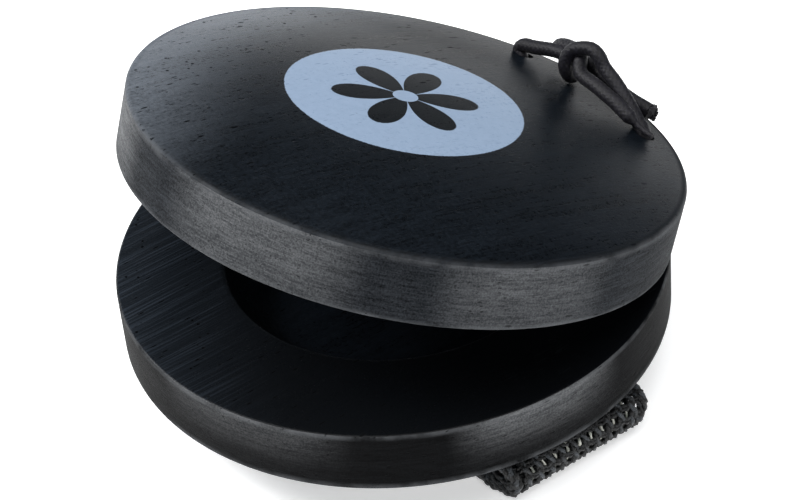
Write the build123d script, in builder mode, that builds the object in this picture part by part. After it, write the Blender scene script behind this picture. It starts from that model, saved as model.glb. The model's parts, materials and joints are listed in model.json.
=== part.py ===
"""Finger castanet: two turned wooden shells tied together with elastic cord, and a finger strap.

Frame: +Z up, +Y towards the hinge, so the mouth opens towards -Y. The origin is on the ground,
under the middle of the lower shell, on the flat underside of the strap. Sizes are in millimetres.
"""
from build123d import *
import os
from math import cos, radians, sin, sqrt, tan

os.makedirs("parts", exist_ok=True)

# Shells
SHELL_RADIUS = 28.5
SHELL_HEIGHT = 9.65  # inner face to the middle of the dome
DOME_EDGE_HEIGHT = 6.9  # inner face to the dome, carried out to the rim
DOME_ROUNDING = 1.1  # between the side wall and the dome
RIM_ROUNDING = 0.35  # between the side wall and the inner face
HOLLOW_RADIUS = 17.4
HOLLOW_DEPTH = 5.5
HOLLOW_FLOOR_RADIUS = 14.2
HOLLOW_FLOOR_RISE = 0.5  # the floor is this much shallower at its edge
HOLLOW_ROUNDING = 4.5
HOLLOW_LIP_ROUNDING = 0.3

# Hinge
OPENING = 19.0  # degrees between the inner faces at rest
RIDGE_Y = 22.4  # the line that the two shells rock on
FACE_GAP = 0.02  # air between the shells where they meet
BEVEL_CUT_Y = 30.5  # clear of the shell
HOLE_RADIUS = 1.0
HOLE_X = 9.9
HOLE_Y = 23.5

# Elastic cord: a rubber core in a braided cover
CORD_RADIUS = 0.75
CORE_RADIUS = 0.42
CORE_CLEARANCE = 0.01
CORD_BEND = 1.4  # where it turns out of a hole
CORD_LIFT = 0.15  # air between the cord and the dome
CORD_END_GAP = 0.13  # the cord's cut ends stop this far short of a bevel
TAIL_SPACING = 1.6  # a tail beside the cord that it runs along
KNOT_HALF_LENGTH = 3.1
KNOT_RADIUS = 2.4
KNOT_X = -0.9
KNOT_HEIGHT = 10.4  # above the inner face

# Finger strap
STRAP_THICKNESS = 1.3
STRAP_FRONT_Y = -6.5
STRAP_WIDTH = 17.5
STRAP_LEFT_X = -6.0
STRAP_RIGHT_X = 27.5
STRAP_BEND_X = 9.0  # right of here the upper layer lifts towards the open fold
STRAP_BEND_RADIUS = 40.0
STRAP_FOLD_HEIGHT = 4.6  # before its rounding
STRAP_LEFT_FLAT = 0.04  # left upright between the roundings of the left fold
STRAP_RIGHT_FLAT = 0.2
STRAP_STACK = 3.3  # ground to the lowest point of the lower shell
STRAP_CLEARANCE = 0.03
STRAP_SEAM_X = 5.0  # the two cut ends meet here, under the shell
STRAP_SEAM_GAP = 0.6
STRAP_SEAM_DEPTH = 1.35  # a little more than one layer

# Staples
WIRE = 0.5
STAPLE_SPAN = 10.0
STAPLE_LEG = 4.4
STAPLE_POINT = 0.5
STAPLE_OFFSET = 3.0  # from the seam
POCKET_CLEARANCE = 0.02

FACE_Z = STRAP_STACK + SHELL_HEIGHT
BEVEL = OPENING / 2
DOME_SAG = SHELL_HEIGHT - DOME_EDGE_HEIGHT
DOME_RADIUS = SHELL_RADIUS**2 / (2 * DOME_SAG) + DOME_SAG / 2


def dome_height(x, y):
    """Height of the dome above the inner face, x and y from the shell's axis."""
    return SHELL_HEIGHT - DOME_RADIUS + sqrt(DOME_RADIUS**2 - x**2 - y**2)


def bevel_height(y):
    """Height of the rear bevel above the inner face at y."""
    return (y - RIDGE_Y) * tan(radians(BEVEL))


def shell_frame(hinge_dir, dome_dir):
    """A shell's own plane, on its inner face: +Y towards the hinge, +Z out of the dome."""
    ridge = Vector(0, RIDGE_Y, FACE_Z)
    origin = ridge - hinge_dir * RIDGE_Y + dome_dir * (FACE_GAP / 2)
    return Plane(origin=origin, x_dir=hinge_dir.cross(dome_dir), z_dir=dome_dir)


def across(shell, y):
    """A plane across a shell at y: its X is the shell's X, and its Y points out of the dome."""
    return Plane(origin=shell.origin + shell.y_dir * y, x_dir=shell.x_dir, z_dir=-shell.y_dir)


tilt = radians(OPENING)
LOWER = shell_frame(Vector(0, 1, 0), Vector(0, 0, -1))
UPPER = shell_frame(Vector(0, cos(tilt), -sin(tilt)), Vector(0, sin(tilt), cos(tilt)))


# --- Shells -------------------------------------------------------------------------------------


def make_shell(shell):
    """A turned shell with its hollow, its rear bevel and its two cord holes."""
    with BuildPart() as turned:
        with BuildSketch(across(shell, 0)):
            with BuildLine():
                floor_edge = (HOLLOW_FLOOR_RADIUS, HOLLOW_DEPTH - HOLLOW_FLOOR_RISE)
                Polyline((0, SHELL_HEIGHT), (0, HOLLOW_DEPTH), floor_edge, (HOLLOW_RADIUS, 0),
                         (SHELL_RADIUS, 0), (SHELL_RADIUS, DOME_EDGE_HEIGHT))
                RadiusArc((SHELL_RADIUS, DOME_EDGE_HEIGHT), (0, SHELL_HEIGHT), -DOME_RADIUS)
            section = make_face()
            *_, hollow_edge, lip, wall_low, wall_high = section.vertices().sort_by(Axis.X)
            rim, shoulder = ShapeList([wall_low, wall_high]).sort_by(Axis.Y)
            fillet(shoulder, DOME_ROUNDING)
            fillet(rim, RIM_ROUNDING)
            fillet(lip, HOLLOW_LIP_ROUNDING)
            fillet(hollow_edge, HOLLOW_ROUNDING)
        revolve(axis=Axis(shell.origin, shell.z_dir))

        # The bevel behind the ridge lets the shells open until it meets the other shell's bevel.
        side = Plane(origin=shell.origin, x_dir=shell.y_dir, z_dir=shell.x_dir)
        with BuildSketch(side):
            with BuildLine():
                Polyline((RIDGE_Y, 0), (BEVEL_CUT_Y, 0), (BEVEL_CUT_Y, bevel_height(BEVEL_CUT_Y)),
                         close=True)
            make_face()
        extrude(amount=SHELL_RADIUS, both=True, mode=Mode.SUBTRACT)

        with BuildSketch(shell):
            with Locations((HOLE_X, HOLE_Y), (-HOLE_X, HOLE_Y)):
                Circle(HOLE_RADIUS)
        extrude(amount=SHELL_HEIGHT, mode=Mode.SUBTRACT)
    return turned


# --- Finger strap and staples -------------------------------------------------------------------

strap_mid_y = STRAP_FRONT_Y + STRAP_WIDTH / 2
strap_top = STRAP_STACK - STRAP_CLEARANCE
staple_xs = [STRAP_SEAM_X - STAPLE_OFFSET, STRAP_SEAM_X + STAPLE_OFFSET]
crown_top = strap_top - STRAP_THICKNESS - POCKET_CLEARANCE
leg_top = crown_top + STAPLE_LEG


def staple_places(z):
    """The middle of each staple's legs at height z."""
    return [(x, strap_mid_y + end * STAPLE_SPAN / 2, z) for x in staple_xs for end in (-1, 1)]


def cut_staple_pockets():
    """Cut the staples' leg pockets out of the part being built."""
    width = WIRE + 2 * POCKET_CLEARANCE
    with Locations(*staple_places(crown_top)):
        Box(width, width, STAPLE_LEG + POCKET_CLEARANCE,
            align=(Align.CENTER, Align.CENTER, Align.MIN), mode=Mode.SUBTRACT)


with BuildPart() as finger_strap:
    with BuildSketch(Plane.XZ.offset(-STRAP_FRONT_Y)):
        with BuildLine():
            left_fold = (strap_top - STRAP_LEFT_FLAT) / 2
            right_fold = (STRAP_FOLD_HEIGHT - STRAP_RIGHT_FLAT) / 2
            FilletPolyline(
                (STRAP_LEFT_X, 0), (STRAP_RIGHT_X, 0), (STRAP_RIGHT_X, STRAP_FOLD_HEIGHT),
                (STRAP_BEND_X, strap_top), (STRAP_LEFT_X, strap_top),
                radius=[left_fold, right_fold, right_fold, STRAP_BEND_RADIUS, left_fold],
                close=True)
        make_face()
        offset(amount=-STRAP_THICKNESS, mode=Mode.SUBTRACT)
    extrude(amount=-STRAP_WIDTH)
    with Locations((STRAP_SEAM_X, strap_mid_y, strap_top)):
        Box(STRAP_SEAM_GAP, STRAP_WIDTH, 2 * STRAP_SEAM_DEPTH, mode=Mode.SUBTRACT)
    cut_staple_pockets()

with BuildPart() as strap_staples:
    for staple_x in staple_xs:
        with BuildSketch(Plane(origin=(staple_x, strap_mid_y, 0), x_dir=(0, 1, 0), z_dir=(1, 0, 0))):
            with BuildLine():
                outer = (STAPLE_SPAN + WIRE) / 2
                inner = outer - WIRE
                shoulder = leg_top - STAPLE_POINT
                Polyline((-outer, crown_top - WIRE), (outer, crown_top - WIRE), (outer, leg_top),
                         (inner, shoulder), (inner, crown_top), (-inner, crown_top),
                         (-inner, shoulder), (-outer, leg_top), close=True)
            make_face()
        extrude(amount=WIRE / 2, both=True)

lower_shell = make_shell(LOWER)
with lower_shell:
    cut_staple_pockets()
upper_shell = make_shell(UPPER)


# --- Elastic cord -------------------------------------------------------------------------------


def cord_run(plane, points, bends):
    """A stretch of cord along points on a plane: its braided cover and its rubber core."""
    runs = []
    core_bore = CORE_RADIUS + CORE_CLEARANCE
    for outer, inner in ((CORD_RADIUS, core_bore), (CORE_RADIUS, 0)):
        with BuildPart() as run:
            with BuildLine(plane) as path:
                FilletPolyline(*points, radius=bends)
            with BuildSketch(Plane(origin=path.line @ 0, z_dir=path.line % 0)):
                Circle(outer)
                if inner:
                    Circle(inner, mode=Mode.SUBTRACT)
            sweep()
        runs.append(run)
    return runs


cord_end = bevel_height(HOLE_Y) + CORD_END_GAP
over_dome = CORD_RADIUS + CORD_LIFT
hole_run = dome_height(0, HOLE_Y) + over_dome
upper_holes = across(UPPER, HOLE_Y)

cord_runs = {
    "under_lower": cord_run(
        across(LOWER, HOLE_Y),
        [(-HOLE_X, cord_end), (-HOLE_X, hole_run), (HOLE_X, hole_run), (HOLE_X, cord_end)],
        [CORD_BEND, CORD_BEND]),
    "upper_left": cord_run(
        upper_holes, [(-HOLE_X, cord_end), (-HOLE_X, 8.75), (-3.4, 9.9)], [CORD_BEND]),
    "upper_right": cord_run(
        upper_holes, [(HOLE_X, cord_end), (HOLE_X, 9.0), (1.6, 9.95)], [CORD_BEND]),
    "long_tail": cord_run(
        upper_holes, [(0.4, 11.65), (7.6, 11.0), (10.4, 11.6)], [4.0]),
    "short_tail": cord_run(
        across(UPPER, HOLE_Y + TAIL_SPACING), [(0.6, 10.1), (6.4, 9.9), (10.5, 9.1)], [8.0]),
}

with BuildPart() as cord_knot:
    with BuildSketch(upper_holes):
        with Locations((KNOT_X, KNOT_HEIGHT)):
            Ellipse(KNOT_HALF_LENGTH, KNOT_RADIUS)
            Rectangle(2 * KNOT_HALF_LENGTH, KNOT_RADIUS, align=(Align.CENTER, Align.MAX),
                      mode=Mode.SUBTRACT)
    knot_middle = upper_holes.from_local_coords(Vector(KNOT_X, KNOT_HEIGHT, 0))
    revolve(axis=Axis(knot_middle, upper_holes.x_dir))

# --- Write each piece ---------------------------------------------------------------------------

pieces = {
    "lower_shell": lower_shell,
    "upper_shell": upper_shell,
    "finger_strap": finger_strap,
    "strap_staples": strap_staples,
    "cord_knot": cord_knot,
}
for run_name, (cover, core) in cord_runs.items():
    pieces["cord_cover_" + run_name] = cover
    pieces["cord_core_" + run_name] = core

for piece_name, piece in pieces.items():
    piece.part.label = piece_name
    export_step(piece.part, "parts/" + piece_name + ".step")
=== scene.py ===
"""Looks for a finger castanet: stained wooden shells, a knotted elastic cord and a woven strap."""
import json
import math
import random

import bmesh
import bpy
import numpy as np
from mathutils import Matrix, Quaternion, Vector


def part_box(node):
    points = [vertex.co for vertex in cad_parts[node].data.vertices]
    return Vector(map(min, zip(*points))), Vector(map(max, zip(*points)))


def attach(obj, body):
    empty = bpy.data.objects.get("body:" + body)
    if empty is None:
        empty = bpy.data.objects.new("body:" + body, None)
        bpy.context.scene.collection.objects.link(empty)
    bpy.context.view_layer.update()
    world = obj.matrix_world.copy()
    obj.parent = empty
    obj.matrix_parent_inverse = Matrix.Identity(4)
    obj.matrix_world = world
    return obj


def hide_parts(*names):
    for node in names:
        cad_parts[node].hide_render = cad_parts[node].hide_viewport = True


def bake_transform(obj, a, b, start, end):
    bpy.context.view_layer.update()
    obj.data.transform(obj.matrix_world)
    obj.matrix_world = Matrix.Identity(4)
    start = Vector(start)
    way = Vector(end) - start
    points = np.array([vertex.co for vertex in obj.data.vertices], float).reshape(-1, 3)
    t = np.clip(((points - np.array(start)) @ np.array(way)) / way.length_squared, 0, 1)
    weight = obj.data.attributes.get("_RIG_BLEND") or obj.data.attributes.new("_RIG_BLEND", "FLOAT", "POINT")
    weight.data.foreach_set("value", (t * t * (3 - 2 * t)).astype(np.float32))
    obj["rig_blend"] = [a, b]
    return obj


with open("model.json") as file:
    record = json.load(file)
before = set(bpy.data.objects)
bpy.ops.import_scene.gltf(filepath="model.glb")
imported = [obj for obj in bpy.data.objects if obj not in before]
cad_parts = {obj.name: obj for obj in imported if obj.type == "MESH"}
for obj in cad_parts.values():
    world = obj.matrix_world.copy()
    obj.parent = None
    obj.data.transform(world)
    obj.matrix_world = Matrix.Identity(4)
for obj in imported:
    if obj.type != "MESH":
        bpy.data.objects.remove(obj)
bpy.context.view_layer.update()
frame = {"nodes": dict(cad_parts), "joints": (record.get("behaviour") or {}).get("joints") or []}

MM = 0.001

# --- Sizes, in millimetres unless a name says otherwise -----------------------------------------

joint = frame["joints"][0]
RIDGE = Vector(joint["pos_m"]) / MM
RIDGE_Y = RIDGE.y
OPENING = math.radians(19)
shell_low, shell_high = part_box("lower_shell")
SHELL_RADIUS = (shell_high.x - shell_low.x) / 2 / MM
SHELL_HEIGHT = 9.65
DOME_EDGE_HEIGHT = 6.9
DOME_SAG = SHELL_HEIGHT - DOME_EDGE_HEIGHT
DOME_RADIUS = SHELL_RADIUS**2 / (2 * DOME_SAG) + DOME_SAG / 2
HOLLOW_RADIUS = 17.4
HOLLOW_DEPTH = 5.5
HOLLOW_FLOOR_RADIUS = 14.2
HOLLOW_FLOOR_RISE = 0.5
HOLLOW_FILLET = 4.5
LIP_ROUNDING = 0.8
RIM_ROUNDING = 0.35
SHOULDER_ROUNDING = 0.5
FACE_GAP = 0.02
HOLE_X = 9.9
HOLE_Y = 23.5
HOLE_RADIUS = 1.0

PRINT_RADIUS = 12.2
PRINT_CENTRE = (-1.0, -0.4)
PETALS = 6
PETAL_LENGTH = 7.6
ROSETTE_EYE = 1.3


def dome_height(x, y):
    """Height of the dome above a shell's inner face, x and y from the shell's axis."""
    return SHELL_HEIGHT - DOME_RADIUS + math.sqrt(DOME_RADIUS**2 - x**2 - y**2)


def shell_frame(hinge_dir, dome_dir):
    """Matrix from a shell's own millimetres (+Y to the hinge, +Z out of the dome) to the frame."""
    origin = RIDGE - hinge_dir * RIDGE_Y + dome_dir * (FACE_GAP / 2)
    matrix = Matrix((hinge_dir.cross(dome_dir), hinge_dir, dome_dir)).transposed().to_4x4()
    matrix.translation = origin
    return Matrix.Scale(MM, 4) @ matrix


LOWER = shell_frame(Vector((0, 1, 0)), Vector((0, 0, -1)))
UPPER = shell_frame(Vector((0, math.cos(OPENING), -math.sin(OPENING))),
                    Vector((0, math.sin(OPENING), math.cos(OPENING))))

# --- Camera -------------------------------------------------------------------------------------

CAMERA_TARGET = Vector((0.7, 0.5, 12.65))
CAMERA_DISTANCE = 261.3
CAMERA_AZIMUTH = math.radians(56.6)
CAMERA_ELEVATION = math.radians(38.81)
CAMERA_ROLL = math.radians(-5.33)
CAMERA_LENS = 114.5


def make_camera():
    """The product view: from the right of the mouth, above, with the object leaning a little."""
    flat = math.cos(CAMERA_ELEVATION)
    back = Vector((math.sin(CAMERA_AZIMUTH) * flat, -math.cos(CAMERA_AZIMUTH) * flat,
                   math.sin(CAMERA_ELEVATION)))
    camera_data = bpy.data.cameras.new("camera")
    camera_data.lens = CAMERA_LENS
    camera_data.clip_start = 0.01
    camera = bpy.data.objects.new("camera", camera_data)
    bpy.context.scene.collection.objects.link(camera)
    camera.rotation_mode = "QUATERNION"
    turn = back.to_track_quat("Z", "Y")
    camera.rotation_quaternion = turn @ Quaternion((0, 0, 1), CAMERA_ROLL)
    camera.location = (CAMERA_TARGET + back * CAMERA_DISTANCE) * MM
    bpy.context.scene.camera = camera


# --- Materials ----------------------------------------------------------------------------------


class Shader:
    """Builds one node material: add() makes a node and links or sets its inputs."""

    def __init__(self, name):
        self.material = bpy.data.materials.new(name)
        self.material.use_nodes = True
        self.tree = self.material.node_tree
        self.tree.nodes.clear()

    def add(self, kind, inputs=None, **settings):
        node = self.tree.nodes.new(kind)
        for key, value in settings.items():
            setattr(node, key, value)
        for key, value in (inputs or {}).items():
            if isinstance(value, bpy.types.NodeSocket):
                self.tree.links.new(value, node.inputs[key])
            else:
                node.inputs[key].default_value = value
        return node

    def math(self, operation, *values):
        node = self.add("ShaderNodeMath", dict(enumerate(values)), operation=operation)
        return node.outputs[0]

    def vector(self, operation, *values):
        node = self.add("ShaderNodeVectorMath", dict(enumerate(values)), operation=operation)
        return node.outputs["Value" if operation in ("LENGTH", "DOT_PRODUCT") else "Vector"]

    def ramp(self, value, low, high, out_low=0.0, out_high=1.0):
        """value mapped smoothly from low..high to out_low..out_high, held at both ends."""
        node = self.add("ShaderNodeMapRange",
                        {"Value": value, "From Min": low, "From Max": high, "To Min": out_low,
                         "To Max": out_high}, interpolation_type="SMOOTHSTEP")
        return node.outputs["Result"]

    def noise(self, point, scale=1.0, detail=3.0, roughness=0.5):
        node = self.add("ShaderNodeTexNoise", {"Vector": point, "Scale": scale, "Detail": detail,
                                               "Roughness": roughness})
        return node.outputs["Fac"]

    def mix(self, factor, low, high):
        """Mix of two colours."""
        node = self.add("ShaderNodeMix", data_type="RGBA")
        for socket, value in zip((node.inputs[0], node.inputs[6], node.inputs[7]),
                                 (factor, low, high)):
            if isinstance(value, bpy.types.NodeSocket):
                self.tree.links.new(value, socket)
            else:
                socket.default_value = value
        return node.outputs[2]

    def bump(self, height, distance, strength):
        inputs = {"Height": height, "Distance": distance, "Strength": strength}
        return self.add("ShaderNodeBump", inputs).outputs["Normal"]

    def finish(self, **sockets):
        """Puts a Principled shader with these sockets on the output."""
        inputs = {key.replace("_", " "): value for key, value in sockets.items()}
        shader = self.add("ShaderNodeBsdfPrincipled", inputs)
        output = self.add("ShaderNodeOutputMaterial")
        self.tree.links.new(shader.outputs[0], output.inputs[0])
        return self.material


def grey(value, blue=1.0):
    """A colour near grey, with its blue channel scaled."""
    return (value, value * (1 + (blue - 1) * 0.4), value * blue, 1)


class WoodGrain:
    """The parts that every face of a shell shares. Points are in the shell's own millimetres,
    with the grain along Y."""

    def __init__(self, name):
        s = self.shader = Shader(name)
        place = s.add("ShaderNodeAttribute", attribute_name="shell_mm").outputs["Vector"]
        drift = s.add("ShaderNodeTexNoise",
                      {"Vector": s.vector("MULTIPLY", place, (0.05, 0.02, 0.05)), "Scale": 1.0,
                       "Detail": 1.0}).outputs["Color"]
        shift = s.vector("MULTIPLY", s.vector("SUBTRACT", drift, (0.5, 0.5, 0.5)),
                         (3.0, 0.0, 3.0))
        self.place = place
        self.grain = s.vector("ADD", place, shift)
        split = s.add("ShaderNodeSeparateXYZ", {"Vector": place})
        self.x, self.y, self.z = (split.outputs[i] for i in range(3))
        self.radius = s.math("SQRT", s.math("ADD", s.math("MULTIPLY", self.x, self.x),
                                            s.math("MULTIPLY", self.y, self.y)))
        self.fibre = self.stretched((2.6, 0.07, 2.6), 5.0, 0.65)
        self.thread = self.stretched((8.0, 0.25, 8.0), 3.0, 0.6)
        self.band = self.stretched((0.35, 0.012, 0.5), 2.0, 0.5)

    def stretched(self, scale, detail, roughness):
        """Noise drawn out along the grain."""
        s = self.shader
        return s.noise(s.vector("MULTIPLY", self.grain, scale), detail=detail,
                       roughness=roughness)

    def pores(self, cell, size, share):
        """Open pores: short slits along the grain, round dots where the grain ends."""
        s = self.shader
        cells = s.add("ShaderNodeTexVoronoi", {"Vector": s.vector("MULTIPLY", self.grain, cell),
                                               "Scale": 1.0, "Randomness": 1.0})
        chance = s.add("ShaderNodeSeparateColor", {"Color": cells.outputs["Color"]}).outputs[0]
        kept = s.math("LESS_THAN", chance, share)
        return s.math("MULTIPLY", s.ramp(cells.outputs["Distance"], size, size * 0.5), kept)

    def edge_wear(self, corner_radius, corner_z, reach):
        """Patchy worn spots round the ring at a radius and height, 0 to 1."""
        s = self.shader
        across = s.math("SUBTRACT", self.radius, corner_radius)
        along = s.math("SUBTRACT", self.z, corner_z)
        gap = s.math("SQRT", s.math("ADD", s.math("MULTIPLY", across, across),
                                    s.math("MULTIPLY", along, along)))
        patchy = s.noise(self.place, scale=0.3, detail=4.0, roughness=0.6)
        return s.math("MULTIPLY", s.ramp(gap, reach, reach * 0.15), s.ramp(patchy, 0.3, 0.65))


def face_material(name, pitted_and_painted_light_side, with_print):
    """Black-stained hardwood, wiped smooth: the dome, the inner face and the hollow. Towards the given side
    the dome carries a painted reflection, the inner face painted light, and the pores are denser."""
    g = WoodGrain(name)
    s = g.shader
    fine_pores = g.pores((2.2, 0.4, 2.2), 0.2, 0.4)
    wide_pores = g.pores((0.9, 0.3, 0.9), 0.16, 0.22)
    towards = s.vector("DOT_PRODUCT", g.place, (*pitted_and_painted_light_side, 0))
    pits = s.math("MULTIPLY", g.pores((1.1, 1.1, 1.1), 0.24, 0.3), s.ramp(towards, 14.0, 20.0))
    pore = s.math("MULTIPLY", s.math("MAXIMUM", fine_pores, wide_pores),
                  s.ramp(towards, -8.0, 14.0, 0.4, 1.0))
    pore = s.math("MAXIMUM", pore, pits)
    outside = s.math("GREATER_THAN", g.z, HOLLOW_DEPTH + 1.0)

    tone = s.math("ADD", s.math("MULTIPLY", g.fibre, 0.55), s.math("MULTIPLY", g.thread, 0.35))
    tone = s.math("ADD", tone, s.math("MULTIPLY", g.band, 0.3))
    mottle = s.noise(g.place, scale=2.6, detail=5.0, roughness=0.75)
    tone = s.math("ADD", s.math("MULTIPLY", tone, 0.55), s.math("MULTIPLY", mottle, 0.5))
    colour = s.mix(s.ramp(tone, 0.45, 0.72), grey(0.001, 2.2), grey(0.006, 2.0))
    # Painted reflection: the outer part of the dome is painted lighter towards the given side, following the
    # grain.
    painted_reflection = s.math("MULTIPLY", s.ramp(g.radius, 12.0, 28.0), s.ramp(towards, 7.0, 28.0))
    painted_reflection = s.math("MULTIPLY", painted_reflection, s.ramp(tone, 0.4, 0.7, 0.4, 1.3))
    colour = s.mix(s.math("MULTIPLY", painted_reflection, 0.8), colour, grey(0.115, 1.3))
    # The inner face and the hollow: light streaks along the grain, faded in towards the given side as
    # painted light.
    streak = s.ramp(g.stretched((5.0, 0.05, 5.0), 3.0, 0.6), 0.44, 0.74)
    streaks_and_painted_light = s.mix(streak, grey(0.006, 1.8), grey(0.024, 1.7))
    inside = s.mix(s.ramp(towards, 8.0, 30.0), grey(0.0028, 1.5), streaks_and_painted_light)
    colour = s.mix(s.ramp(g.z, HOLLOW_DEPTH + 1.0, 1.0), colour, inside)
    worn = g.edge_wear(SHELL_RADIUS - 0.1, DOME_EDGE_HEIGHT - 0.3, 0.5)
    colour = s.mix(s.math("MULTIPLY", worn, 0.5), colour, grey(0.07, 1.15))
    scuffed = s.math("MULTIPLY", s.ramp(g.stretched((0.1, 0.1, 0.1), 2.0, 0.5), 0.5, 0.7),
                     s.ramp(g.stretched((9.0, 0.5, 9.0), 2.0, 0.5), 0.62, 0.7))
    colour = s.mix(s.math("MULTIPLY", scuffed, 0.35), colour, grey(0.03, 1.3))
    colour = s.mix(s.math("MULTIPLY", pore, 0.85), colour, grey(0.0005, 1.0))

    roughness = s.ramp(tone, 0.35, 0.8, 0.25, 0.34)
    roughness = s.math("ADD", roughness, s.math("MULTIPLY", outside,
                                                s.ramp(g.radius, 27.6, 28.1, 0.0, 0.3)))
    relief = s.math("ADD", s.math("MULTIPLY", g.fibre, 0.2), s.math("MULTIPLY", g.thread, 0.25))
    relief = s.math("ADD", relief, s.math("MULTIPLY", mottle, 0.45))
    relief = s.math("SUBTRACT", relief, s.math("MULTIPLY", pore, 0.1))

    if with_print:
        off_x = s.math("SUBTRACT", g.x, PRINT_CENTRE[0])
        off_y = s.math("SUBTRACT", g.y, PRINT_CENTRE[1])
        out = s.math("SQRT", s.math("ADD", s.math("MULTIPLY", off_x, off_x),
                                    s.math("MULTIPLY", off_y, off_y)))
        ragged = s.math("MULTIPLY", s.math("SUBTRACT", s.noise(g.place, 5.0, 4.0), 0.5), 0.22)
        edge = s.math("ADD", out, ragged)
        disc = s.math("MULTIPLY", s.ramp(edge, PRINT_RADIUS, PRINT_RADIUS - 0.1), outside)
        # A plain rosette: the petals are the lobes of |cos| of half their number times the angle.
        angle = s.math("ARCTAN2", off_y, off_x)
        petal = s.math("ABSOLUTE", s.math("COSINE", s.math("MULTIPLY", angle, PETALS / 2)))
        petal_edge = s.math("MULTIPLY", s.math("POWER", petal, 0.6), PETAL_LENGTH)
        rosette = s.math("MULTIPLY", s.ramp(s.math("SUBTRACT", edge, petal_edge), 0.0, -0.14),
                         s.math("GREATER_THAN", out, ROSETTE_EYE))
        chipped = s.ramp(s.noise(g.place, 2.4, 6.0, 0.75), 0.64, 0.68)
        thin = s.math("MULTIPLY", s.ramp(g.thread, 0.62, 0.75), 0.25)
        ink = s.math("MULTIPLY", disc, s.math("SUBTRACT", 1.0, s.math("MULTIPLY", chipped, 0.5)))
        ink = s.math("MULTIPLY", ink, s.math("SUBTRACT", 1.0, thin))
        ink = s.math("MULTIPLY", ink, s.math("SUBTRACT", 1.0, s.math("MULTIPLY", pore, 0.3)))
        blue = s.mix(s.noise(g.place, 1.3, 5.0, 0.7), (0.18, 0.243, 0.333, 1),
                     (0.245, 0.315, 0.427, 1))
        printed = s.mix(rosette, blue, grey(0.003, 1.5))
        colour = s.mix(ink, colour, printed)
        relief = s.math("MULTIPLY", relief, s.math("SUBTRACT", 1.0, s.math("MULTIPLY", ink, 0.6)))
        relief = s.math("ADD", relief, s.math("MULTIPLY", ink, 0.4))

    # The finish is duller at the back left, by the cord.
    polish = s.ramp(s.vector("DOT_PRODUCT", g.place, (-0.5, 0.87, 0)), 3.0, 21.0, 0.12, 0.015)
    shine = s.math("MULTIPLY", polish, s.math("SUBTRACT", 1.0, s.math("MULTIPLY", pore, 0.95)))
    roughness = s.math("ADD", roughness, s.math("MULTIPLY", pore, 0.5))
    return s.finish(Base_Color=colour, Roughness=roughness, Specular_IOR_Level=shine,
                    Normal=s.bump(relief, 0.00007, 0.9))


def wall_material(name, turned, painted_shade_by_height, painted_highlight_stretches, stain_and_painted_shade):
    """The side walls: smoothed by sanding round the rim, with fine lines round it. Parts of the wall are
    painted lighter as painted highlights, and the walls are painted darker towards the bottom as painted
    shade. turned is 1 or -1 for the side of the shell that +X is on; the third argument is the share of
    painted highlight kept at the rim and at the shoulder, and the last one how light the darker stained
    colour can get, set lower on the lower shell as painted shade. Each stretch has the angle of its middle,
    from the mouth towards +X, how far it reaches and how strong its painted highlight is."""
    g = WoodGrain(name)
    s = g.shader
    lines = s.noise(s.vector("MULTIPLY", g.place, (0.3, 0.3, 4.0)), detail=5.0, roughness=0.8)
    broad = s.noise(s.vector("MULTIPLY", g.place, (0.12, 0.12, 0.9)), detail=2.0)
    speck = s.noise(g.place, scale=5.0, detail=4.0, roughness=0.75)
    pore = s.math("MAXIMUM", g.pores((2.4, 0.35, 2.4), 0.22, 0.5),
                  g.pores((1.0, 0.3, 1.0), 0.17, 0.3))
    tone = s.math("ADD", s.math("MULTIPLY", lines, 0.5), s.math("MULTIPLY", broad, 0.15))
    tone = s.math("ADD", tone, s.math("MULTIPLY", speck, 0.55))
    # Painted highlights: the wall is painted lighter round the listed angles, then painted darker towards
    # the bottom as painted shade.
    painted_light = 0.0
    for angle, reach, strength in painted_highlight_stretches:
        angle = math.radians(angle)
        side = (turned * math.sin(angle), -math.cos(angle), 0)
        near = s.ramp(s.vector("DOT_PRODUCT", g.place, side), SHELL_RADIUS - reach, SHELL_RADIUS,
                      0.0, strength)
        painted_light = s.math("MAXIMUM", painted_light, near)
    painted_light = s.math("MULTIPLY", painted_light, s.ramp(g.z, -2.0, DOME_EDGE_HEIGHT - 1.0, *painted_shade_by_height))
    # The last argument sets how light the stained colour gets; it is lower on the lower shell, as painted
    # shade.
    stained = s.mix(s.ramp(tone, 0.45, 0.78), grey(stain_and_painted_shade / 10, 1.5), grey(stain_and_painted_shade, 1.3))
    # The lighter colour that the painted highlights use.
    painted_highlight_colour = s.mix(s.ramp(tone, 0.45, 0.78), grey(0.05, 1.15), grey(0.2, 1.04))
    colour = s.mix(painted_light, stained, painted_highlight_colour)
    worn = s.math("MAXIMUM", g.edge_wear(SHELL_RADIUS - 0.2, DOME_EDGE_HEIGHT - 0.2, 0.8),
                  g.edge_wear(SHELL_RADIUS, 0.0, 0.7))
    colour = s.mix(s.math("MULTIPLY", worn, 0.5), colour, grey(0.12, 1.1))
    colour = s.mix(s.math("MULTIPLY", pore, 0.6), colour, grey(0.001, 1.0))
    relief = s.math("ADD", s.math("MULTIPLY", lines, 0.9), s.math("MULTIPLY", speck, 0.3))
    relief = s.math("SUBTRACT", relief, s.math("MULTIPLY", pore, 0.6))
    normal = s.bump(relief, 0.00008, 0.9)
    return s.finish(Base_Color=colour, Roughness=s.ramp(tone, 0.4, 0.8, 0.6, 0.5), Normal=normal,
                    Specular_IOR_Level=0.03)


# --- Mesh helpers -------------------------------------------------------------------------------


def add_object(name, mesh, material, body, *nodes, smooth=35):
    """Links a finished mesh that stands for CAD nodes."""
    piece = bpy.data.objects.new(name, mesh)
    bpy.context.scene.collection.objects.link(piece)
    mesh.materials.clear()
    mesh.materials.append(material)
    mesh.shade_smooth()
    mesh.set_sharp_from_angle(angle=math.radians(smooth))
    if body:
        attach(piece, body)
    if nodes:
        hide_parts(*nodes)
    return piece


# --- Shells -------------------------------------------------------------------------------------

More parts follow.
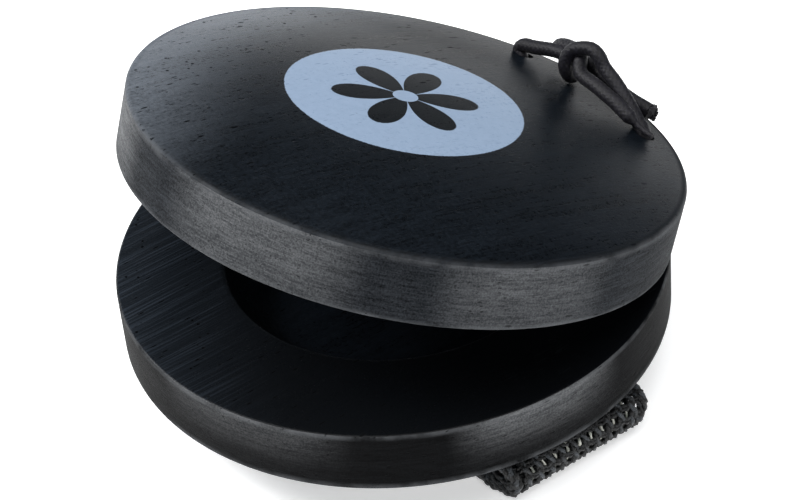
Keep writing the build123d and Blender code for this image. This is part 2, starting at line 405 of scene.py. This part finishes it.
TURNS = 288
DOME_STEPS = 44
PROFILE_STEP = 0.6
WALL_DEPTH = 0.25


def corner_arc(before, corner, after, radius, steps):
    """Points that round a corner of a profile with a tangent arc."""
    corner = Vector(corner)
    to_before = (Vector(before) - corner).normalized()
    to_after = (Vector(after) - corner).normalized()
    half = to_before.angle(to_after) / 2
    middle = corner + (to_before + to_after).normalized() * radius / math.sin(half)
    start = corner + to_before * radius / math.tan(half) - middle
    end = corner + to_after * radius / math.tan(half) - middle
    sweep = start.angle_signed(end)
    return [middle + Matrix.Rotation(-sweep * i / steps, 2) @ start for i in range(steps + 1)]


def even(points, step):
    """A run of profile points with gaps no longer than step."""
    spaced = [points[0]]
    for point in points[1:]:
        gap = (point - spaced[-1]).length
        count = max(1, round(gap / step))
        start = spaced[-1]
        spaced += [start.lerp(point, i / count) for i in range(1, count + 1)]
    return spaced


def shell_profile():
    """Half section of a shell, from the middle of the hollow round to the middle of the dome."""
    floor_edge = (HOLLOW_FLOOR_RADIUS, HOLLOW_DEPTH - HOLLOW_FLOOR_RISE)
    lip = (HOLLOW_RADIUS, 0)
    rim = (SHELL_RADIUS, 0)
    shoulder = (SHELL_RADIUS, DOME_EDGE_HEIGHT)
    near_shoulder = (SHELL_RADIUS - 2, dome_height(SHELL_RADIUS - 2, 0))
    points = [Vector((0, HOLLOW_DEPTH))]
    points += corner_arc((0, HOLLOW_DEPTH), floor_edge, lip, HOLLOW_FILLET, 10)
    points += corner_arc(floor_edge, lip, rim, LIP_ROUNDING, 6)
    points += corner_arc(lip, rim, shoulder, RIM_ROUNDING, 5)
    rounded = corner_arc(rim, shoulder, near_shoulder, SHOULDER_ROUNDING, 8)
    points += rounded
    across = [rounded[-1].x * (1 - i / DOME_STEPS) for i in range(1, DOME_STEPS + 1)]
    points += [Vector((x, dome_height(x, 0))) for x in across]
    return even(points, PROFILE_STEP)


def make_shell(name, matrix, body, face_wood, wall_wood, node):
    """A turned shell as one clean mesh: revolved, bevelled and drilled."""
    profile = shell_profile()
    build = bmesh.new()
    ends = [build.verts.new((0, 0, profile[0].y)), build.verts.new((0, 0, profile[-1].y))]
    rings = []
    for point in profile[1:-1]:
        turned = [2 * math.pi * i / TURNS for i in range(TURNS)]
        rings.append([build.verts.new((point.x * math.cos(a), point.x * math.sin(a), point.y))
                      for a in turned])
    for i in range(TURNS):
        j = (i + 1) % TURNS
        build.faces.new((ends[0], rings[0][j], rings[0][i]))
        build.faces.new((ends[1], rings[-1][i], rings[-1][j]))
        for inner, outer in zip(rings, rings[1:]):
            build.faces.new((inner[i], inner[j], outer[j], outer[i]))
    bmesh.ops.recalc_face_normals(build, faces=build.faces)

    # The bevel behind the ridge.
    slope = OPENING / 2
    normal = Vector((0, math.sin(slope), -math.cos(slope)))
    cut = bmesh.ops.bisect_plane(build, geom=build.verts[:] + build.edges[:] + build.faces[:],
                                 plane_co=(0, RIDGE_Y, 0), plane_no=normal, clear_outer=True)
    open_edges = [e for e in cut["geom_cut"] if isinstance(e, bmesh.types.BMEdge)]
    bmesh.ops.contextual_create(build, geom=open_edges)
    bmesh.ops.recalc_face_normals(build, faces=build.faces)
    mesh = bpy.data.meshes.new(name)
    build.to_mesh(mesh)
    build.free()

    mesh = drill(mesh, [(HOLE_X, HOLE_Y), (-HOLE_X, HOLE_Y)])
    places = np.array([v.co for v in mesh.vertices], np.float32)
    attribute = mesh.attributes.new("shell_mm", "FLOAT_VECTOR", "POINT")
    attribute.data.foreach_set("vector", places.ravel())
    on_wall = [Vector(f.center.xy).length > SHELL_RADIUS - WALL_DEPTH
               and f.center.z < DOME_EDGE_HEIGHT - WALL_DEPTH and f.normal.xy.length > 0.7
               for f in mesh.polygons]
    mesh.transform(matrix)
    piece = add_object(name, mesh, face_wood, body, node)
    mesh.materials.append(wall_wood)
    mesh.polygons.foreach_set("material_index", np.array(on_wall, np.int32))


def drill(mesh, places):
    """The mesh with a cord hole through it at each place."""
    cutter = bmesh.new()
    for x, y in places:
        bmesh.ops.create_cone(cutter, segments=40, radius1=HOLE_RADIUS, radius2=HOLE_RADIUS,
                              depth=3 * SHELL_HEIGHT, cap_ends=True,
                              matrix=Matrix.Translation((x, y, SHELL_HEIGHT / 2)))
    cutter_mesh = bpy.data.meshes.new("cutter")
    cutter.to_mesh(cutter_mesh)
    cutter.free()
    solid = bpy.data.objects.new("solid", mesh)
    tool = bpy.data.objects.new("tool", cutter_mesh)
    for item in (solid, tool):
        bpy.context.scene.collection.objects.link(item)
    cut = solid.modifiers.new("cut", "BOOLEAN")
    cut.operation = "DIFFERENCE"
    cut.solver = "EXACT"
    cut.object = tool
    bpy.context.view_layer.update()
    drilled = bpy.data.meshes.new_from_object(solid.evaluated_get(
        bpy.context.evaluated_depsgraph_get()))
    bpy.data.objects.remove(solid)
    bpy.data.objects.remove(tool)
    return drilled


# --- Elastic cord ------------------------------------------------------------------------------

CORD_RADIUS = 0.75
CARRIERS = 8  # yarns of the braid each way round
BRAID_TURN = 5.2  # along the cord in one turn of a yarn
BRAID_RELIEF = 0.035
CORD_SIDES = 48


def route(points, matrix):
    """Points read along the smooth spline that a cord follows, in metres in the frame."""
    curve = bpy.data.curves.new("route", "CURVE")
    curve.dimensions = "3D"
    curve.resolution_u = 24
    spline = curve.splines.new("NURBS")
    spline.points.add(len(points) - 1)
    for target, point in zip(spline.points, points):
        target.co = (matrix @ Vector(point)).to_4d()
    spline.order_u = 3
    spline.use_endpoint_u = True
    holder = bpy.data.objects.new("route", curve)
    mesh = bpy.data.meshes.new_from_object(holder)
    read = [v.co.copy() for v in mesh.vertices]
    bpy.data.objects.remove(holder)
    return read


def resample(points, step):
    """The same line with points a fixed step apart."""
    line = np.array(points, float)
    along = np.concatenate([[0], np.cumsum(np.linalg.norm(np.diff(line, axis=0), axis=1))])
    count = max(3, int(round(along[-1] / step)) + 1)
    places = np.linspace(0, along[-1], count)
    return np.stack([np.interp(places, along, line[:, k]) for k in range(3)], axis=1), places


def carried_frames(line):
    """Two directions across a line at each point, carried along it without twist."""
    forward = np.gradient(line, axis=0)
    forward /= np.linalg.norm(forward, axis=1)[:, None]
    side = np.cross(forward[0], (0.3, 0.2, 0.93))
    sides = []
    for direction in forward:
        side = side - direction * side.dot(direction)
        side = side / np.linalg.norm(side)
        sides.append(side)
    sides = np.array(sides)
    return sides, np.cross(forward, sides)


def tube_mesh(build, line, radii, turns, shade, relief=None):
    """Adds a closed tube along a line to a bmesh. shade and relief are per ring and turn."""
    sides, ups = carried_frames(line)
    angles = np.arange(turns) * 2 * math.pi / turns
    rows = []
    for i, centre in enumerate(line):
        reach = radii[i] + (relief[i] if relief is not None else 0)
        ring = (centre + (sides[i] * np.cos(angles)[:, None] + ups[i] * np.sin(angles)[:, None])
                * np.reshape(reach, (-1, 1)))
        row = [build.verts.new(point) for point in ring]
        rows.append(row)
    layer = build.verts.layers.float["shade"]
    for i, row in enumerate(rows):
        for k, vert in enumerate(row):
            vert[layer] = shade[i][k] if np.ndim(shade[i]) else shade[i]
    for first, second in zip(rows, rows[1:]):
        for k in range(turns):
            m = (k + 1) % turns
            build.faces.new((first[k], first[m], second[m], second[k]))
    build.faces.new(rows[0][::-1])
    build.faces.new(rows[-1])


def braid(places, turns):
    """How far each point of a braided tube stands out, -1 to 1, per ring and turn."""
    angle = np.arange(turns) / turns
    along = np.asarray(places)[:, None] / (BRAID_TURN * MM)
    right = CARRIERS * (angle[None, :] + along)
    left = CARRIERS * (angle[None, :] - along)
    lift = (-1.0) ** np.floor(right) * np.sin(math.pi * left)
    drop = -((-1.0) ** np.floor(left)) * np.sin(math.pi * right)
    over = np.abs(np.sin(math.pi * right)) * 0.6 + lift * 0.4
    under = np.abs(np.sin(math.pi * left)) * 0.6 + drop * 0.4
    return np.maximum(over, under) * 1.6 - 0.6


def braided_cord(name, points, matrix, body, material, nodes=(), radius=None):
    """A braided cord along a route given in a shell's own millimetres."""
    line, places = resample(route(points, matrix), 0.1 * MM)
    stands = braid(places, CORD_SIDES)
    share = places / places[-1]
    radii = np.array([(radius(t) if radius else 1.0) * CORD_RADIUS for t in share]) * MM
    build = bmesh.new()
    build.verts.layers.float.new("shade")
    # The braid's lift is kept as the shade attribute, which paints shade where the yarns dive, and as
    # relief.
    tube_mesh(build, line, radii, CORD_SIDES, stands, stands * BRAID_RELIEF * MM)
    mesh = bpy.data.meshes.new(name)
    build.to_mesh(mesh)
    build.free()
    piece = add_object(name, mesh, material, body, *nodes, smooth=60)
    return piece


def frayed_end(name, points, matrix, body, material, count, spread):
    """The cut end of a cord: a tuft of short yarn ends."""
    line, _ = resample(route(points, matrix), 0.1 * MM)
    sides, ups = carried_frames(line)
    tip, forward = line[-1], line[-1] - line[-2]
    forward = forward / np.linalg.norm(forward)
    chance = random.Random(5)
    build = bmesh.new()
    build.verts.layers.float.new("shade")
    for k in range(count):
        turn = 2 * math.pi * (k + chance.uniform(-0.4, 0.4)) / count
        out = sides[-1] * math.cos(turn) + ups[-1] * math.sin(turn)
        start = CORD_RADIUS * chance.uniform(0.1, 0.95)
        reach = (0.15 + 0.6 * abs(math.cos(turn + 0.7))) * chance.uniform(0.6, 1.1)
        bend = chance.uniform(-0.15, 0.15)
        t = np.linspace(0, 1, 7)[:, None]
        yarn = (tip + forward * ((t * 1.2 - 0.4) * reach * MM)
                + out * ((start + spread * t ** 2 * reach) * MM)
                + np.cross(forward, out) * (bend * t * MM))
        tube_mesh(build, yarn, np.full(7, chance.uniform(0.12, 0.2) * MM), 6,
                  np.full(7, chance.uniform(-0.5, 1.0)))
    mesh = bpy.data.meshes.new(name)
    build.to_mesh(mesh)
    build.free()
    piece = add_object(name, mesh, material, body, smooth=60)


def braid_material():
    """Black polyester braid: matte yarns with a soft sheen, with painted shade where they dive."""
    s = Shader("black_braid")
    place = s.add("ShaderNodeTexCoord").outputs["Object"]
    stands = s.add("ShaderNodeAttribute", attribute_name="shade").outputs["Fac"]
    fuzz = s.noise(place, scale=5200.0, detail=2.0, roughness=0.7)
    patch = s.noise(place, scale=420.0, detail=2.0)
    # The shade attribute paints the yarns darker where they dive: painted shade.
    level = s.math("ADD", s.math("MULTIPLY", stands, 0.15), s.math("MULTIPLY", fuzz, 1.4))
    level = s.math("ADD", level, s.math("MULTIPLY", patch, 0.4))
    colour = s.mix(s.ramp(level, 0.65, 1.25), (0.0003, 0.0003, 0.0007, 1),
                   (0.0085, 0.0078, 0.0125, 1))
    normal = s.bump(fuzz, 0.00008, 0.6)
    return s.finish(Base_Color=colour, Roughness=0.55, Normal=normal, Sheen_Weight=0.03,
                    Sheen_Roughness=0.4, Specular_IOR_Level=0.25)


# --- Finger strap -------------------------------------------------------------------------------

strap_low, strap_high = (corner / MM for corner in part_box("finger_strap"))
STRAP_THICKNESS = 1.3
STRAP_MID_Y = (strap_low.y + strap_high.y) / 2
STRAP_WIDTH = strap_high.y - strap_low.y
STRAP_TOP = 3.27
STRAP_BEND_X = 9.0
SEAM_X = 5.0
SEAM_GAP = 0.6
WALES = 10  # chains across the band between its selvages
SELVAGE = 1.15
COURSE = 1.08  # spacing of the cross yarns along it
STRAND_STEP = 0.2
CHAIN_YARN = 0.21  # yarn radii
CROSS_YARN = 0.19
SELVAGE_YARN = 0.27
ROLLED_YARN = 0.25


def strap_line():
    """The middle of the band round its flattened loop, from one cut end to the other."""
    half = STRAP_THICKNESS / 2
    right = strap_high.x - strap_high.z / 2
    left = strap_low.x + STRAP_TOP / 2
    corners = [(SEAM_X + SEAM_GAP / 2, STRAP_TOP - half), (STRAP_BEND_X, STRAP_TOP - half),
               (right - 5, STRAP_TOP + 0.7 - half)]
    line = [Vector((*corners[0],))]
    for start, end in zip(corners, corners[1:]):
        line += [Vector(start).lerp(Vector(end), i / 20) for i in range(1, 21)]

    def fold(middle, radius, first, last, steps):
        return [Vector((middle[0] + radius * math.cos(a), middle[1] + radius * math.sin(a)))
                for a in (math.radians(first + (last - first) * i / steps)
                          for i in range(steps + 1))]

    line += fold((right, strap_high.z / 2), strap_high.z / 2 - half, 88, -90, 40)
    line += [Vector((right + (left - right) * i / 60, half)) for i in range(1, 60)]
    line += fold((left, STRAP_TOP / 2), STRAP_TOP / 2 - half, -90, -270, 30)
    line += [Vector((left + (SEAM_X - SEAM_GAP / 2 - left) * i / 24, STRAP_TOP - half))
             for i in range(1, 25)]
    return line


def strap_surface():
    """A function giving the point at an arc length, a place across and a depth in the band."""
    flat, places = resample([(p.x, 0, p.y) for p in strap_line()], 0.1)
    window = np.hanning(17) / np.hanning(17).sum()
    padded = np.concatenate([np.repeat(flat[:1], 8, 0), flat, np.repeat(flat[-1:], 8, 0)])
    smooth = np.stack([np.convolve(padded[:, k], window, "valid") for k in range(3)], axis=1)
    forward = np.gradient(smooth, axis=0)
    forward /= np.linalg.norm(forward, axis=1)[:, None]
    outward = np.stack([-forward[:, 2], forward[:, 0] * 0, forward[:, 0]], axis=1)
    bend_x = strap_high.x

    def at(along, across, depth):
        """Arrays of arc length, share across from -1 to 1, and height over the mid-surface."""
        x, z = (np.interp(along, places, smooth[:, k]) for k in (0, 2))
        out_x, out_z = (np.interp(along, places, outward[:, k]) for k in (0, 2))
        near_fold = np.exp(-((x - bend_x) / 3.2) ** 2)
        low_side = np.clip(1 - z / 3.5, 0, 1)
        narrow = 1 - 0.2 * near_fold * low_side * (across > 0) - 0.02 * near_fold
        swollen = 0.75 * np.exp(-((x - 21) / 2.6) ** 2) * low_side * np.clip(-across, 0, 1) ** 2
        wave = 0.12 * np.sin(along * 0.9) + 0.07 * np.sin(along * 2.3 + 1.0)
        y = STRAP_MID_Y + across * STRAP_WIDTH / 2 * narrow + wave * np.abs(across) - swollen
        y += 0.8 * np.clip(across, 0, 1) ** 2 * np.exp(-((x - 25) / 5) ** 2) * (1 - low_side)
        return np.stack([x + out_x * depth, y, z + out_z * depth], axis=-1) * MM

    return at, places[-1]


def strap_pieces(yarn, rubber):
    """Woven elastic: pale rubber threads, chains of black yarn over them, and cross yarns."""
    at, length = strap_surface()
    chance = random.Random(11)
    builds = {}
    for name in ("outer_chains", "inner_chains", "cross_yarns", "selvages",
                 "rubber_threads"):
        builds[name] = bmesh.new()
        builds[name].verts.layers.float.new("shade")

    def strand(name, along, across, depth, thick, sides, tone):
        line = at(along, across, depth)
        wobble = np.array([chance.uniform(0.6, 1.4) for _ in along])
        tube_mesh(builds[name], line, thick * wobble * MM, sides, tone + np.zeros(len(line)))

    along = np.linspace(0, length, int(length / STRAND_STEP))
    half = STRAP_WIDTH / 2
    body_half = half - SELVAGE
    wale = 2 * body_half / WALES
    for i in range(WALES):
        middle = (i + 0.5) * wale - body_half
        phase = chance.uniform(0, 0.8)
        for face, name in ((1, "outer_chains"), (-1, "inner_chains")):
            for hand in (0, math.pi):
                turn = along * math.pi / COURSE + phase + hand
                side = middle + 0.27 * np.sin(turn)
                rise = np.cos(turn)
                # Chains are painted darker where they dive and lighter where they rise (painted shade), on
                # top of a random tone per strand.
                tone = chance.uniform(0.2, 0.5) + 0.45 * rise
                strand(name, along, side / half, face * (0.3 + 0.12 * rise), CHAIN_YARN, 6, tone)
    # The rubber lies between the chains, and comes up where the band is bent over the fold.
    fold_reach = [at(np.array([a]), np.zeros(1), np.zeros(1))[0] / MM for a in along]
    over_fold = np.array([max(0.0, (p[0] - strap_high.x + 3.0) / 3.0)
                          * max(0.0, min(1.0, (p[2] - 1.9) / 1.2)) for p in fold_reach])
    for i in range(WALES - 1):
        middle = (i + 1) * wale - body_half
        depth = -0.1 + over_fold * (0.54 * chance.uniform(0.45, 1.1)
                                    + 0.11 * np.sin(along * 2.1 + 5 * i))
        strand("rubber_threads", along, (middle + 0.04 * np.sin(along * 1.7 + i)) / half, depth,
               chance.uniform(0.12, 0.2), 6, 0.5)
    across = np.linspace(-body_half, body_half, int(2 * body_half / STRAND_STEP))
    for i in range(int(length / COURSE)):
        centre = (i + 0.5) * COURSE
        for face in (1, -1):
            for offset in (-0.14, 0.14):
                lift = face * (0.2 + 0.16 * np.abs(np.cos(math.pi * across / wale + offset)))
                lean = (centre + offset + 0.1 * np.sin(across * 2 * math.pi / wale + face)
                        + np.array([chance.uniform(-0.05, 0.05) for _ in across]))
                strand("cross_yarns", lean, across / half, lift, CROSS_YARN, 5,
                       chance.uniform(-0.2, 0.5))
    # Selvages: a plait of thick yarns down each edge.
    for edge in (-1, 1):
        for k in range(4):
            turn = along * math.pi / COURSE * 0.55 + k * math.pi / 2
            reach = half - 0.62 + 0.32 * np.sin(turn)
            strand("selvages", along, edge * reach / half, 0.34 * np.cos(turn) - 0.03,
                   SELVAGE_YARN, 7, 0.35 + 0.45 * np.sin(turn * 3))
    # At the fold the front selvage rolls in and closes the end of the loop.
    rolled = np.exp(-((np.array([p[0] for p in fold_reach]) - strap_high.x) / 4.5) ** 2)
    for k in range(6):
        turn = along * math.pi / COURSE * 0.8 + k * 2.1
        reach = half - 0.45 - 0.1 * k + 0.14 * np.sin(turn)
        depth = -rolled * (0.35 + 0.26 * k) + 0.12 * np.cos(turn)
        strand("selvages", along, -reach / half, depth, ROLLED_YARN, 7,
               0.3 + 0.5 * np.sin(turn * 2))
    for name, build in builds.items():
        mesh = bpy.data.meshes.new("strap_" + name)
        build.to_mesh(mesh)
        build.free()
        material = rubber if name == "rubber_threads" else yarn
        nodes = ("finger_strap",) if name == "outer_chains" else ()
        piece = add_object("strap_" + name, mesh, material, "lower", *nodes, smooth=80)


def yarn_material():
    """Textured black polyester yarn with bright filaments here and there; the flecks are partly painted
    glints, and the shade attribute adds painted shade.
    """
    s = Shader("strap_yarn")
    place = s.add("ShaderNodeTexCoord").outputs["Object"]
    tone = s.add("ShaderNodeAttribute", attribute_name="shade").outputs["Fac"]
    fuzz = s.noise(place, scale=5200.0, detail=3.0, roughness=0.8)
    patch = s.noise(place, scale=900.0, detail=2.0)
    level = s.math("ADD", s.math("MULTIPLY", fuzz, 0.8), s.math("MULTIPLY", patch, 0.7))
    level = s.math("ADD", level, s.math("MULTIPLY", tone, 0.4))
    # The bright flecks stand for filaments and are partly painted glints; the shade attribute gives painted
    # shade where the chains dive.
    colour = s.mix(s.ramp(level, 0.86, 1.2), (0.0004, 0.0005, 0.0007, 1), (0.055, 0.063, 0.072, 1))
    normal = s.bump(fuzz, 0.0002, 0.9)
    return s.finish(Base_Color=colour, Roughness=0.42, Normal=normal, Sheen_Weight=0.05)


def rubber_material():
    """Pale natural-rubber thread, dusty and a little uneven."""
    s = Shader("strap_rubber")
    place = s.add("ShaderNodeTexCoord").outputs["Object"]
    patch = s.noise(place, scale=1100.0, detail=2.0)
    colour = s.mix(s.ramp(patch, 0.35, 0.65), (0.12, 0.13, 0.11, 1), (0.72, 0.72, 0.64, 1))
    return s.finish(Base_Color=colour, Roughness=0.55)


def staple_material():
    """Zinc-coated wire with a drawn finish."""
    s = Shader("staple_zinc")
    place = s.add("ShaderNodeTexCoord").outputs["Object"]
    drawn = s.noise(s.vector("MULTIPLY", place, (9000, 600, 9000)), detail=2.0)
    colour = s.mix(drawn, (0.42, 0.42, 0.43, 1), (0.62, 0.62, 0.62, 1))
    return s.finish(Base_Color=colour, Metallic=1.0, Roughness=s.ramp(drawn, 0.2, 0.8, 0.28, 0.5))


# --- Floor and light ----------------------------------------------------------------------------


FLOOR_SIZE = 1.0  # metres
FLOOR_DROP = 0.00002  # metres below the strap, so that the two don't share a plane
FLOOR_GLOW = 0.45
SURROUND = ((0.1, (0.2, 0.23, 0.26, 1)), (0.6, (0.02, 0.03, 0.04, 1)),
            (0.22, (0.16, 0.19, 0.225, 1)), (0.36, (0.05, 0.065, 0.08, 1)))


def make_studio():
    """A light table under soft boxes, with a surround that is bright only low down."""
    bpy.context.scene.view_settings.view_transform = "Standard"
    bpy.ops.mesh.primitive_plane_add(size=FLOOR_SIZE, location=(0, 0, -FLOOR_DROP))
    floor = bpy.context.object
    floor.name = "floor"
    s = Shader("floor_white")
    floor.data.materials.append(s.finish(Base_Color=(0.9, 0.9, 0.9, 1), Roughness=0.9,
                                         Specular_IOR_Level=0.0, Emission_Strength=FLOOR_GLOW,
                                         Emission_Color=(1, 1, 1, 1)))

    world = bpy.data.worlds.new("surround")
    bpy.context.scene.world = world
    world.use_nodes = True
    tree = world.node_tree
    tree.nodes.clear()
    direction = tree.nodes.new("ShaderNodeTexCoord")
    split = tree.nodes.new("ShaderNodeSeparateXYZ")
    ramp = tree.nodes.new("ShaderNodeValToRGB")
    background = tree.nodes.new("ShaderNodeBackground")
    output = tree.nodes.new("ShaderNodeOutputWorld")
    tree.links.new(direction.outputs["Generated"], split.inputs[0])
    tree.links.new(split.outputs["Z"], ramp.inputs[0])
    tree.links.new(ramp.outputs[0], background.inputs[0])
    tree.links.new(background.outputs[0], output.inputs[0])
    stops = ramp.color_ramp.elements
    for stop, (position, colour) in zip(list(stops), SURROUND):
        stop.position = position
        stop.color = colour
    for position, colour in SURROUND[2:]:
        stops.new(position).color = colour
    background.inputs["Strength"].default_value = 1.0

    def area(name, place, aim, size, power):
        light_data = bpy.data.lights.new(name, "AREA")
        light_data.shape = "RECTANGLE"
        light_data.size, light_data.size_y = size
        light_data.energy = power
        light = bpy.data.objects.new(name, light_data)
        bpy.context.scene.collection.objects.link(light)
        light.location = place
        light.visible_camera = False
        light.rotation_mode = "QUATERNION"
        light.rotation_quaternion = (Vector(place) - Vector(aim)).to_track_quat("Z", "Y")

    area("top_light", (0, 0, 1.2), (0, 0, 0), (1.5, 1.5), 20)
    area("left_light", (-0.54, -0.45, 0.56), (0, 0, 0.01), (0.35, 0.35), 8)
    area("right_light", (0.74, -0.05, 0.4), (0, 0, 0.01), (0.3, 0.3), 2.3)


make_camera()
make_studio()

LEFT_ROUTE = [(-9.9, 23.5, 4.0), (-9.9, 23.5, 6.7), (-11.0, 23.5, 7.7), (-10.3, 23.5, 8.5),
              (-9.0, 23.5, 8.8), (-7.8, 23.5, 9.2), (-6.2, 23.6, 9.75), (-5.0, 23.7, 10.0),
              (-3.6, 23.8, 10.2), (-2.0, 24.1, 10.3), (-0.6, 24.3, 10.4), (1.0, 24.3, 10.3),
              (2.8, 24.5, 9.8), (4.3, 24.7, 9.4), (5.4, 25.0, 9.2), (6.6, 25.4, 9.0),
              (7.9, 25.6, 8.9)]
RIGHT_ROUTE = [(9.9, 23.5, 4.0), (9.9, 23.5, 6.8), (9.5, 23.5, 7.8), (8.4, 23.5, 8.3),
               (7.5, 23.5, 8.9), (6.5, 23.4, 9.6), (5.1, 23.3, 10.4), (4.0, 23.2, 11.0),
               (3.0, 23.1, 11.4), (2.2, 23.0, 11.8), (1.6, 22.8, 12.6), (0.5, 22.7, 13.0),
               (-0.7, 22.5, 12.6), (-1.9, 22.2, 11.9), (-2.3, 22.0, 10.8), (-2.2, 22.0, 9.8),
               (-1.9, 22.6, 8.8), (-2.2, 23.8, 8.5), (-3.4, 25.0, 8.7), (-5.2, 25.4, 9.0),
               (-6.8, 25.2, 9.2), (-6.7, 25.0, 9.9), (-5.3, 24.5, 10.6), (-3.9, 24.1, 11.0),
               (-2.4, 23.6, 11.4), (-1.2, 23.0, 11.3), (-0.7, 22.6, 10.8), (-0.2, 22.3, 10.2),
               (0.6, 22.1, 9.95), (1.7, 22.0, 10.0), (3.1, 21.9, 10.0), (4.6, 21.9, 9.8),
               (6.0, 22.0, 9.6), (7.4, 22.1, 9.2), (8.7, 22.3, 8.8), (9.6, 22.5, 8.45),
               (10.4, 22.7, 8.25), (11.4, 22.9, 8.15)]
UNDER_ROUTE = [(-9.9, 23.5, 3.0), (-9.9, 23.5, 7.4), (-9.7, 23.5, 8.5), (-8.2, 23.5, 8.7),
               (0.0, 23.5, 8.7), (8.2, 23.5, 8.7), (9.7, 23.5, 8.5), (9.9, 23.5, 7.4),
               (9.9, 23.5, 3.0)]
braid_black = braid_material()


def flare(t):
    """The left strand's cut end spreads."""
    return 1.0 + 0.12 * max(0.0, (t - 0.9) / 0.1) ** 1.5


def taper(t):
    """The right strand's cut end is pulled thin."""
    return 1.0 - 0.62 * min(1.0, max(0.0, (t - 0.93) / 0.022))


UPPER_NODES = ["cord_knot"] + ["cord_%s_%s" % (layer, run) for layer in ("cover", "core")
                               for run in ("upper_left", "upper_right", "long_tail",
                                           "short_tail")]
braided_cord("cord_left", LEFT_ROUTE, UPPER, "upper", braid_black,
             [n for n in UPPER_NODES if "left" in n or "long" in n], flare)
braided_cord("cord_right", RIGHT_ROUTE, UPPER, "upper", braid_black,
             [n for n in UPPER_NODES if "right" in n or "short" in n or "knot" in n], taper)
frayed_end("cord_left_end", LEFT_ROUTE, UPPER, "upper", braid_black, 70, 0.3)
braided_cord("cord_under", UNDER_ROUTE, LOWER, "lower", braid_black,
             ["cord_cover_under_lower", "cord_core_under_lower"])
for side, x in (("left", HOLE_X), ("right", -HOLE_X)):
    lower_end = LOWER @ Vector((x, HOLE_Y, 3.4))
    upper_end = UPPER @ Vector((-x, HOLE_Y, 4.4))
    link_route = [lower_end / MM,
                  LOWER @ Vector((x, HOLE_Y, 0.9)) / MM,
                  UPPER @ Vector((-x, HOLE_Y, 0.9)) / MM, upper_end / MM]
    link = braided_cord("cord_link_" + side, link_route, Matrix.Scale(MM, 4), None,
                        braid_black)
    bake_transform(link, "lower", "upper", start=LOWER @ Vector((x, HOLE_Y, 1.2)),
             end=UPPER @ Vector((-x, HOLE_Y, 1.2)))

strap_pieces(yarn_material(), rubber_material())
staples = frame["nodes"]["strap_staples"]
zinc = staple_material()
for staple_slot in staples.material_slots:
    staple_slot.link = "OBJECT"
    staple_slot.material = zinc

# Each wall gets painted highlights at the listed angles and painted shade towards the bottom; the lower
# wall's stained colour is set darker as painted shade.
make_shell("lower_shell_wood", LOWER, "lower", face_material("black_wood", (0.6, -0.8), False),
           wall_material("lower_wall_wood", -1, (1.0, 0.04),
                         ((23, 2.5, 0.52), (84, 1.9, 1.0), (200, 5.0, 0.4)), 0.004),
           "lower_shell")
make_shell("upper_shell_wood", UPPER, "upper",
           face_material("printed_black_wood", (-0.9, -0.44), True),
           wall_material("upper_wall_wood", 1, (0.55, 1.0),
                         ((-32, 2.0, 0.8), (23, 2.5, 0.62), (77, 1.9, 0.46), (200, 5.0, 0.4)),
                         0.03),
           "upper_shell")
